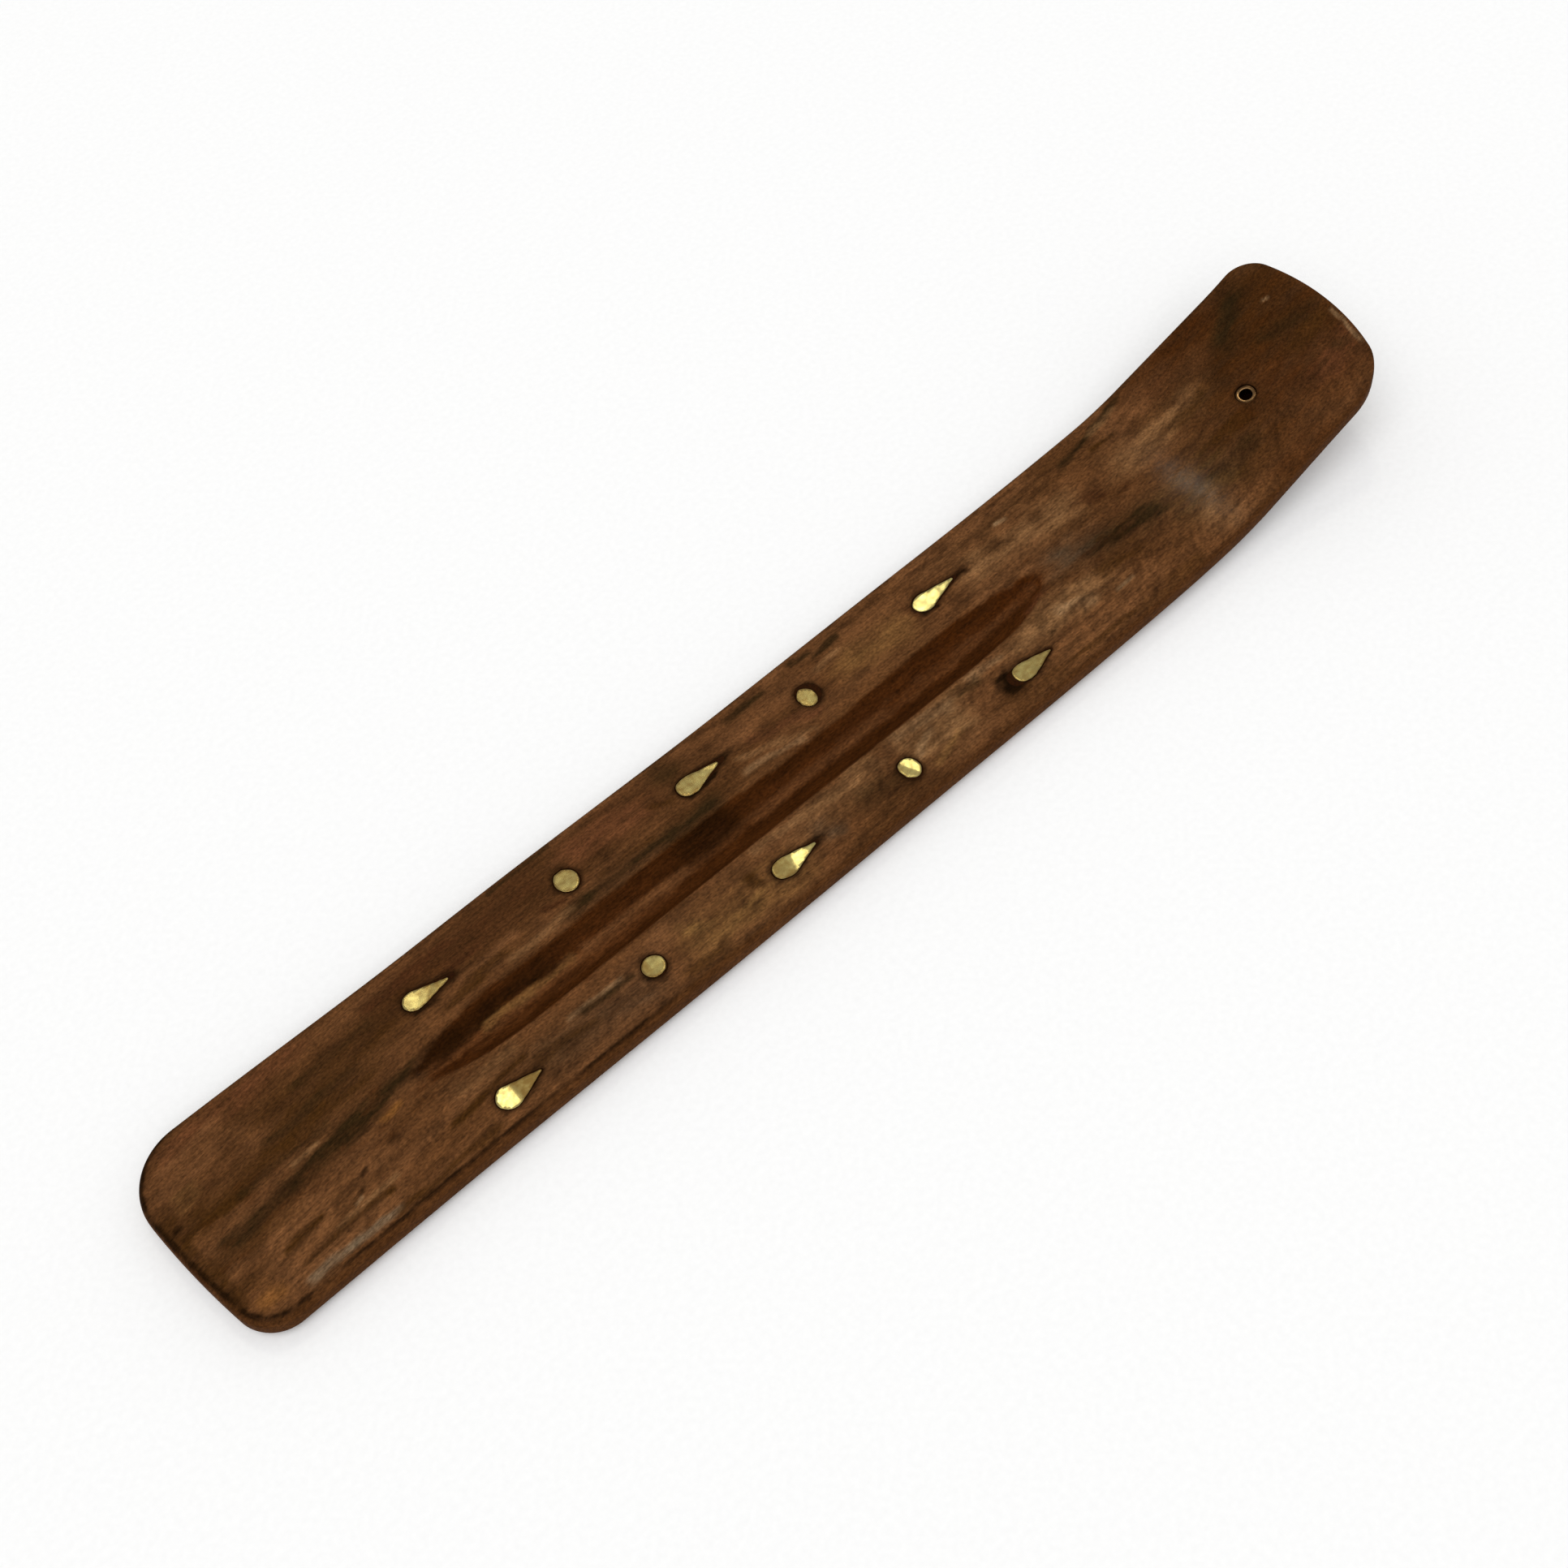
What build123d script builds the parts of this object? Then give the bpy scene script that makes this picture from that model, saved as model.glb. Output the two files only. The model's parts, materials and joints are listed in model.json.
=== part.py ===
# A carved wooden incense stick holder with brass inlays, lying flat with its tail swept up.
# +X runs from the flat end to the raised tail, +Y to the left row of inlays, +Z is up.
# The origin is under the middle of the object's box, on the surface that it rests on.

import os
from math import acos, cos, degrees, radians, sin, sqrt, tan

from build123d import *

os.makedirs("parts", exist_ok=True)

# Board, in millimetres
board_length = 254.0
board_width = 38.0
board_thickness = 5.0
upper_rim_radius = 1.4
lower_rim_radius = 2.4
rim_land = 0.4

# Ends of the board, seen from above
flat_end_radius = 150.0
flat_end_crown = 7.0
tail_end_radius = 48.0
tail_end_crown = 5.2
flat_left_corner = 11.0
flat_right_corner = 7.0
tail_left_corner = 5.0
tail_right_corner = 10.0

# Side view: a long gentle sweep, a short bend, then a straight tail
sweep_radius = 790.0
sweep_angle = 4.0
bend_radius = 60.0
bend_angle = 12.0
tail_length = 35.0

# The carved pattern was marked out a little to the right of the middle
pattern_offset = -1.1

# Ash groove, cut by a wheel with a rounded edge
groove_start = 44.0
groove_length = 133.5
groove_width = 9.2
groove_depth = 2.5
groove_wheel_radius = 80.0
groove_wheel_lift = 3.0

# Brass inlays, bedded in dark filler
row_inset = 7.5
teardrop_length = 8.8
teardrop_width = 3.8
teardrop_tip_radius = 0.25
dot_diameter = 4.2
brass_thickness = 0.8
filler_rim = 0.3
filler_bed = 0.3

# Stick hole in the tail, lined with a brass tube that stands on a floor of wood
eyelet_setback = 22.8
eyelet_outer_diameter = 3.9
eyelet_bore = 2.3
eyelet_recess = 0.2
eyelet_floor = 1.0
eyelet_clearance = 0.02

# How far a cut runs past the surface that it opens
cut_overrun = 2.0

# Places of the teardrops' heads: share of the board's length from the flat end, share of the row offset
teardrop_place_shares = {
    "front_left": (0.200, 0.98),
    "front_right": (0.202, -1.07),
    "middle_left": (0.424, 0.99),
    "middle_right": (0.426, -1.01),
    "rear_left": (0.637, 0.99),
    "rear_right": (0.642, -0.99),
}
# Hand-cut sizes: share of the teardrop's length, share of its width
teardrop_size_shares = {
    "front_left": (0.95, 0.92),
    "front_right": (0.98, 1.12),
    "middle_left": (1.01, 1.01),
    "middle_right": (1.02, 1.00),
    "rear_left": (1.05, 0.96),
    "rear_right": (0.99, 0.98),
}
# How far the filler reaches past the head and past the tip, as shares of the teardrop's length
teardrop_filler_shares = {
    "front_left": (0.02, 0.20),
    "front_right": (0.04, 0.02),
    "middle_left": (0.01, 0.24),
    "middle_right": (0.02, 0.09),
    "rear_left": (0.05, 0.16),
    "rear_right": (0.26, 0.02),
}
# How far each teardrop is turned, in degrees from the board's length
teardrop_turns = {
    "front_left": -4.0,
    "front_right": 1.0,
    "middle_left": 2.0,
    "middle_right": 1.0,
    "rear_left": 1.0,
    "rear_right": 1.0,
}
# Places of the dots: share of the board's length from the flat end, share of the row offset
dot_place_shares = {
    "front_left": (0.323, 1.00),
    "front_right": (0.322, -0.91),
    "rear_left": (0.528, 0.94),
    "rear_right": (0.536, -1.03),
}
# Hand-cut sizes of the dots: shares of the diameter along the board and across it
dot_size_shares = {
    "front_left": (1.00, 1.08),
    "front_right": (0.96, 0.95),
    "rear_left": (0.80, 1.00),
    "rear_right": (0.87, 1.01),
}
# How far the filler's oval is moved along and across, as shares of the diameter
dot_filler_shares = {
    "front_left": (0.02, -0.01),
    "front_right": (0.01, -0.03),
    "rear_left": (0.20, 0.10),
    "rear_right": (-0.02, -0.03),
}

# Lengths and angles that follow from the sizes above
half_length = board_length / 2
half_width = board_width / 2
row_offset = half_width - row_inset
tail_angle = sweep_angle + bend_angle
sweep_reach = sweep_radius * sin(radians(sweep_angle))
bend_reach = bend_radius * (sin(radians(tail_angle)) - sin(radians(sweep_angle)))
bend_end = half_length - tail_length
bend_start = bend_end - bend_reach
sweep_start = bend_start - sweep_reach
sweep_rise = sweep_radius * (1 - cos(radians(sweep_angle)))
bend_rise = bend_radius * (cos(radians(sweep_angle)) - cos(radians(tail_angle)))
overall_height = board_thickness + sweep_rise + bend_rise + tail_length * tan(radians(tail_angle))
pocket_depth = brass_thickness + filler_bed
eyelet_hole_depth = board_thickness - eyelet_floor
lower_rim = min(lower_rim_radius, board_thickness - upper_rim_radius - rim_land)


def top_plane(x, y):
    """The plane that touches the board's top face at x, y, with its own x along the board."""
    if x <= sweep_start:
        rise, angle = 0.0, 0.0
    elif x <= bend_start:
        angle = degrees(acos(sqrt(1 - ((x - sweep_start) / sweep_radius) ** 2)))
        rise = sweep_radius * (1 - cos(radians(angle)))
    elif x <= bend_end:
        turned = (x - bend_start) / bend_radius + sin(radians(sweep_angle))
        angle = degrees(acos(sqrt(1 - turned**2)))
        rise = sweep_rise + bend_radius * (cos(radians(sweep_angle)) - cos(radians(angle)))
    else:
        angle = tail_angle
        rise = sweep_rise + bend_rise + (x - bend_end) * tan(radians(tail_angle))
    along = (cos(radians(angle)), 0, sin(radians(angle)))
    normal = (-sin(radians(angle)), 0, cos(radians(angle)))
    return Plane((x, y, board_thickness + rise), x_dir=along, z_dir=normal)


def end_setback(y, radius, crown):
    """How far a rounded end lies behind its foremost point at y."""
    return radius - sqrt(radius**2 - (y - crown) ** 2)


def teardrop_plane(name):
    """The plane at the middle of a teardrop's head, turned along the teardrop."""
    along_share, across_share = teardrop_place_shares[name]
    x = along_share * board_length - half_length
    y = pattern_offset + across_share * row_offset
    return top_plane(x, y).rotated((0, 0, teardrop_turns[name]))


def teardrop_sizes(name):
    """The head's radius and the distance from the head's middle to the middle of the blunt tip."""
    length_share, width_share = teardrop_size_shares[name]
    head_radius = width_share * teardrop_width / 2
    return head_radius, length_share * teardrop_length - head_radius - teardrop_tip_radius


def draw_teardrop(name):
    """Draw the outline of one brass teardrop in the open sketch."""
    head_radius, tip_distance = teardrop_sizes(name)
    Circle(head_radius)
    with Locations((tip_distance, 0)):
        Circle(teardrop_tip_radius)
    make_hull()


def draw_teardrop_pocket(name):
    """Draw the outline of a teardrop's pocket, which its filler fills round the brass."""
    head_radius, tip_distance = teardrop_sizes(name)
    head_share, tip_share = teardrop_filler_shares[name]
    Circle(head_radius + filler_rim)
    with Locations((-head_share * teardrop_length, 0)):
        Circle(head_radius)
    with Locations((tip_distance + tip_share * teardrop_length, 0)):
        Circle(teardrop_tip_radius + filler_rim)
    make_hull()


def dot_plane(name):
    """The plane at the middle of a dot."""
    along_share, across_share = dot_place_shares[name]
    return top_plane(along_share * board_length - half_length, pattern_offset + across_share * row_offset)


def draw_dot(name):
    """Draw the outline of one brass dot in the open sketch."""
    along_share, across_share = dot_size_shares[name]
    Ellipse(along_share * dot_diameter / 2, across_share * dot_diameter / 2)


def draw_dot_pocket(name):
    """Draw the outline of a dot's pocket, which its filler fills round the brass."""
    along_share, across_share = dot_size_shares[name]
    shift_along_share, shift_across_share = dot_filler_shares[name]
    shift_along = shift_along_share * dot_diameter
    shift_across = shift_across_share * dot_diameter
    with Locations((shift_along, shift_across)):
        Ellipse(
            along_share * dot_diameter / 2 + filler_rim + abs(shift_along),
            across_share * dot_diameter / 2 + filler_rim + abs(shift_across),
        )


# Wooden tray
eyelet_plane = top_plane(half_length - eyelet_setback, pattern_offset)
groove_section_radius = ((groove_width / 2) ** 2 + groove_depth**2) / (2 * groove_depth)
groove_runout = sqrt(groove_wheel_radius**2 - (groove_wheel_radius - groove_depth) ** 2)
groove_wheel_turn = degrees(acos(1 - (groove_depth + groove_wheel_lift) / groove_wheel_radius))
cutter_radius = groove_wheel_radius - groove_section_radius
cutter_height = board_thickness - groove_depth + groove_section_radius
cutter_start = groove_start + groove_runout - half_length
cutter_end = cutter_start + groove_length - 2 * groove_runout

with BuildPart() as wooden_tray:
    # Side view
    with BuildSketch(Plane.XZ) as side_view:
        with BuildLine():
            top_flat = Line((-half_length, board_thickness), (sweep_start, board_thickness))
            top_sweep = JernArc(top_flat @ 1, top_flat % 1, sweep_radius, sweep_angle)
            top_bend = JernArc(top_sweep @ 1, top_sweep % 1, bend_radius, bend_angle)
            top_tail = PolarLine(top_bend @ 1, board_length, tail_angle)
            base_flat = Line((-half_length, 0), (sweep_start, 0))
            base_sweep = JernArc(base_flat @ 1, base_flat % 1, sweep_radius + board_thickness, sweep_angle)
            base_bend = JernArc(base_sweep @ 1, base_sweep % 1, bend_radius + board_thickness, bend_angle)
            base_tail = PolarLine(base_bend @ 1, board_length, tail_angle)
            Line(top_flat @ 0, base_flat @ 0)
            Line(top_tail @ 1, base_tail @ 1)
        make_face()
    extrude(amount=board_width, both=True)

    # Outline from above, with hand-rounded corners
    with BuildSketch() as plan_view:
        with BuildLine():
            left_y = half_width
            right_y = -half_width
            flat_left = (-half_length + end_setback(left_y, flat_end_radius, flat_end_crown), left_y)
            flat_right = (-half_length + end_setback(right_y, flat_end_radius, flat_end_crown), right_y)
            tail_left = (half_length - end_setback(left_y, tail_end_radius, tail_end_crown), left_y)
            tail_right = (half_length - end_setback(right_y, tail_end_radius, tail_end_crown), right_y)
            Line(flat_left, tail_left)
            ThreePointArc(tail_left, (half_length, tail_end_crown), tail_right)
            Line(tail_right, flat_right)
            ThreePointArc(flat_right, (-half_length, flat_end_crown), flat_left)
        make_face()
        fillet(plan_view.vertices().sort_by_distance(flat_left)[0], flat_left_corner)
        fillet(plan_view.vertices().sort_by_distance(flat_right)[0], flat_right_corner)
        fillet(plan_view.vertices().sort_by_distance(tail_left)[0], tail_left_corner)
        fillet(plan_view.vertices().sort_by_distance(tail_right)[0], tail_right_corner)
    extrude(amount=overall_height + cut_overrun, mode=Mode.INTERSECT)

    # Rounded rims
    seams = wooden_tray.edges().filter_by(Axis.Y)
    upper_faces = wooden_tray.faces().filter_by(lambda face: face.normal_at().Z > sin(radians(45)))
    fillet(upper_faces.edges() - seams, upper_rim_radius)
    lower_seams = wooden_tray.edges().filter_by(Axis.Y)
    lower_faces = wooden_tray.faces().filter_by(lambda face: face.normal_at().Z < -sin(radians(45)))
    fillet(lower_faces.edges() - lower_seams, lower_rim)

    # Ash groove
    with BuildLine(Plane.XZ.offset(-pattern_offset)) as cutter_path:
        level = Line((cutter_start, cutter_height), (cutter_end, cutter_height))
        JernArc(level @ 0, (-1, 0), cutter_radius, -groove_wheel_turn)
        JernArc(level @ 1, (1, 0), cutter_radius, groove_wheel_turn)
    with BuildSketch(Plane(cutter_path.wires()[0] @ 0, z_dir=cutter_path.wires()[0] % 0)):
        Circle(groove_section_radius)
    sweep(path=cutter_path.wires()[0], mode=Mode.SUBTRACT)

    # Inlay pockets
    for name in teardrop_place_shares:
        with BuildSketch(teardrop_plane(name).offset(-pocket_depth)):
            draw_teardrop_pocket(name)
        extrude(amount=pocket_depth + cut_overrun, mode=Mode.SUBTRACT)
    for name in dot_place_shares:
        with BuildSketch(dot_plane(name).offset(-pocket_depth)):
            draw_dot_pocket(name)
        extrude(amount=pocket_depth + cut_overrun, mode=Mode.SUBTRACT)

    # Seat of the eyelet
    with BuildSketch(eyelet_plane.offset(-eyelet_hole_depth)):
        Circle(eyelet_outer_diameter / 2 + eyelet_clearance)
    extrude(amount=eyelet_hole_depth + cut_overrun, mode=Mode.SUBTRACT)
wooden_tray.part.label = "wooden_tray"
export_step(wooden_tray.part, "parts/wooden_tray.step")

# Brass teardrops and their filler
for name in teardrop_place_shares:
    plane = teardrop_plane(name)
    with BuildPart() as teardrop:
        with BuildSketch(plane):
            draw_teardrop(name)
        extrude(amount=-brass_thickness)
    teardrop.part.label = "teardrop_inlay_" + name
    export_step(teardrop.part, "parts/teardrop_inlay_" + name + ".step")

    with BuildPart() as filler:
        with BuildSketch(plane):
            draw_teardrop_pocket(name)
        extrude(amount=-pocket_depth)
        with BuildSketch(plane):
            draw_teardrop(name)
        extrude(amount=-brass_thickness, mode=Mode.SUBTRACT)
    filler.part.label = "teardrop_filler_" + name
    export_step(filler.part, "parts/teardrop_filler_" + name + ".step")

# Brass dots and their filler
for name in dot_place_shares:
    plane = dot_plane(name)
    with BuildPart() as dot:
        with BuildSketch(plane):
            draw_dot(name)
        extrude(amount=-brass_thickness)
    dot.part.label = "dot_inlay_" + name
    export_step(dot.part, "parts/dot_inlay_" + name + ".step")

    with BuildPart() as filler:
        with BuildSketch(plane):
            draw_dot_pocket(name)
        extrude(amount=-pocket_depth)
        with BuildSketch(plane):
            draw_dot(name)
        extrude(amount=-brass_thickness, mode=Mode.SUBTRACT)
    filler.part.label = "dot_filler_" + name
    export_step(filler.part, "parts/dot_filler_" + name + ".step")

# Brass eyelet
with BuildPart() as stick_eyelet:
    with BuildSketch(eyelet_plane.offset(-eyelet_hole_depth)):
        Circle(eyelet_outer_diameter / 2)
        Circle(eyelet_bore / 2, mode=Mode.SUBTRACT)
    extrude(amount=eyelet_hole_depth - eyelet_recess)
stick_eyelet.part.label = "stick_eyelet"
export_step(stick_eyelet.part, "parts/stick_eyelet.step")
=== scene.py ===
# The looks of a carved wooden incense stick holder with brass inlays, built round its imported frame.
# Sizes are in millimetres unless a name says otherwise, and MM turns them into Blender's metres.

import json
from math import atan2, cos, pi, radians, sin, sqrt, tan

import bmesh
import bpy
import numpy as np
from mathutils import Matrix, Vector
from mathutils.geometry import convex_hull_2d
from mathutils.kdtree import KDTree


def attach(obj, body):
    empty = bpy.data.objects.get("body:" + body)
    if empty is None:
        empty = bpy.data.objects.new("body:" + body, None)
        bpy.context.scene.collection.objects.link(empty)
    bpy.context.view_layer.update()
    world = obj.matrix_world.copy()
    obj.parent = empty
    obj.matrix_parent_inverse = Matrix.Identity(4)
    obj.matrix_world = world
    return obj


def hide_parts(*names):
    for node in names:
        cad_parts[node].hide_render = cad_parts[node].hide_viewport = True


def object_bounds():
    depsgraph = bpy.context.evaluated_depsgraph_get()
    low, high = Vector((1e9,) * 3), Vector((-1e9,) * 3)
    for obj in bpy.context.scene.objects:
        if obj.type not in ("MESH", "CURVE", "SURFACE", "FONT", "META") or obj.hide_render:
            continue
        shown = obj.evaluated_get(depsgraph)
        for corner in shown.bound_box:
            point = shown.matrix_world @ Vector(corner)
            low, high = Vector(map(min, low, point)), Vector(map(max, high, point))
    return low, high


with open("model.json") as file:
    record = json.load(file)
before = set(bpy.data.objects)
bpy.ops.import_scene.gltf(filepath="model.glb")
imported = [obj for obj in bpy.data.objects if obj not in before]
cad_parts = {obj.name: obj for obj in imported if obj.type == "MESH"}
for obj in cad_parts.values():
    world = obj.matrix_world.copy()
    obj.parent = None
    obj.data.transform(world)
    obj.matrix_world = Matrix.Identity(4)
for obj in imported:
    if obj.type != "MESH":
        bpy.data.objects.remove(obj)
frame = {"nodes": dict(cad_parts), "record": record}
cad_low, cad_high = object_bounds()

MM = 0.001

# Board: its box comes from the frame, its bends and roundings are the real ones
half_length = (cad_high.x - cad_low.x) / 2 / MM
half_width = (cad_high.y - cad_low.y) / 2 / MM
thickness = 5
sweep_radius, sweep_angle = 790, radians(4)
bend_radius, bend_angle = 60, radians(12)
tail_length = 35
tail_angle = sweep_angle + bend_angle
# Ends from above: the way that each faces, its radius and the y of its furthest point
end_arcs = {"flat": (-1, 150, 7), "tail": (1, 48, 5.2)}
# Corners by end and side (1 is left)
corner_radii = {("flat", 1): 11, ("flat", -1): 7, ("tail", 1): 6.2, ("tail", -1): 10}

# Rims: the upper one starts with a crease, is broadest by the flat end and narrowest at the tail's end
rim_width, rim_extra, rim_saved, rim_depth = 1, 0.9, 0.75, 1.5
rim_crease = radians(25)
broad_rim_end = -0.8 * half_length
tail_end_zone = (0.9 * half_length, 0.97 * half_length)
lower_rim = 2.4

# Ash groove
pattern_offset = -1.1
groove_start, groove_length = 44, 133.5
groove_width, groove_depth = 9.2, 2.5
groove_wheel_radius = 80
groove_softness = 0.3
section_radius = ((groove_width / 2) ** 2 + groove_depth**2) / (2 * groove_depth)
groove_runout = sqrt(groove_wheel_radius**2 - (groove_wheel_radius - groove_depth) ** 2)
cutter_radius = groove_wheel_radius - section_radius
cutter_height = thickness - groove_depth + section_radius
cutter_start = groove_start + groove_runout - half_length
cutter_end = cutter_start + groove_length - 2 * groove_runout

# Inlays, cut and bedded by hand
brass_thickness, brass_proud, brass_bevel, brass_dents = 0.8, 0.03, 0.14, 0.012
most_tarnish, edge_tarnish_reach = 1.4, 0.35
pocket_depth = 1.1
plate_wobble, pocket_wobble, wobble_spread = 0.09, 0.12, 7.3
wobble_blobs, wobble_layers = (0.55, 0.55, 1), 3
plate_seed, pocket_seed = 1, 51
filler_edge, filler_sink, filler_share, least_filler = 0.05, 0.14, 0.6, 0.08

# Eyelet
eyelet_outer, eyelet_clearance, eyelet_lip, lip_wobble = 1.95, 0.02, 0.18, 0.04

# Fineness of the meshes, and the angles in degrees from which their edges are sharp
cells_along, cells_across = 552, 110
rim_steps, lower_rim_steps, filler_steps, lip_steps, turned_steps = 6, 8, 5, 4, 72
arc_points, outline_points, wander_points, wander_window = 80, 140, 200, 25
plate_cell = 0.45
brass_crease, soft_crease = 25, 40

# How far the hand-sawn sides stand out from straight ones: mm from the flat end, mm outwards
left_side_line = [
    (0, 0), (20, 0), (50, -0.5), (75, -0.2), (115, -0.6), (160, 0), (190, -0.2), (254, -0.45),
]
right_side_line = [
    (0, 0), (40, -0.3), (90, 0), (150, -0.1), (202, 0.1), (218, -0.35), (242, -1.1), (254, -1.2),
]
# The same for the left edge of the ash groove
groove_left_line = [
    (44, 0.4), (54, 0.5), (70, 0.2), (110, 0.2), (125, -0.9), (140, -0.3), (158, 0.4), (178, 0),
]

# Noises: the size of their blobs along x, y and z, their seed and how many layers they have
NOISES = {
    "broad": ((22, 3.2, 5), 11, 3),
    "streak": ((9, 0.9, 2), 23, 3),
    "fine": ((4, 0.4, 1), 37, 2),
    "blotch": ((3.2, 1.3, 3), 61, 3),
    "mottle": ((0.9, 2.6, 3), 51, 3),
    "warp_x": ((5, 2.5, 3), 83, 3),
    "warp_y": ((5, 1.4, 3), 71, 3),
    "uneven": ((3, 1, 1), 91, 3),
    "groove_streak": ((7, 0.6, 1), 97, 3),
    "dents": ((1.5, 1.1, 1), 17, 2),
}
# The mottling lies askew, on the right side only
mottle_turn = np.array([[0.8, 0.6, 0], [-0.6, 0.8, 0], [0, 0, 1]])
mottle_zone = (-3, -8)
# The grain slants near the flat end: how steeply, between which x and round which x
grain_slope, slant_zone, slant_middle = 0.1, (70, 20), 45
# The underside has the figure of another place in the wood
base_figure_shift = (23, 2, 40)
# Half width from which a stroke is a broad and soft one
broad_stroke = 1.5
# Where the rim's crease has the most painted shade: at the flat end (x), and along the right side near it
# (x, y)
flat_end_zone = (-112, -122)
near_zone_x, near_zone_y = (-20, -70), (6, -12)
# How far the crease's painted shade reaches, and the stains round the pockets and the eyelet
crease_reach, crease_extra = 0.34, 0.15
stain_reach, stain_spread = 0.5, 0.25
# A spot that is rubbed shiny
rubbed_place, rubbed_size = (85, -6), 7
# Least z of a normal that faces up
up_limit = 0.3

# Colours as they look in daylight (sRGB, 0 to 255): brass bright and dull, filler dark, lighter and dusty
# The dull brass is tarnish and, in part, a painted dim reflection
INLAY_BRASS = ((210, 199, 130), (135, 107, 58))
EYELET_BRASS = ((124, 95, 62), (50, 30, 14))
LAC_DARK, LAC_LIGHT, LAC_DUST = (30, 12, 2), (48, 22, 4), (66, 36, 13)

# The same for the wood, its stains and its painted shade
WOOD = {
    "base": (89, 56, 30),
    "umber": (56, 33, 10),
    "charcoal": (42, 28, 11),
    "mahogany": (58, 30, 8),
    "olive": (62, 47, 23),
    "slate": (70, 54, 38),
    "plum": (64, 36, 17),
    "russet": (92, 54, 31),
    "sienna": (106, 69, 40),
    "amber": (122, 78, 36),
    "ochre": (116, 82, 44),
    "tan": (118, 84, 52),
    "straw": (134, 104, 72),
    "ash": (112, 94, 72),
    # The ash groove's colours: the soot and painted shade of its sides, its floor, and soot
    "groove": (57, 27, 5),
    "floor": (86, 50, 24),
    "soot": (34, 16, 3),
    # stain also colours the painted shade in the rim's crease
    "stain": (26, 13, 3),
    # Painted shade for the rims, the sides and the underside
    "side": (72, 42, 18),
}
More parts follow.
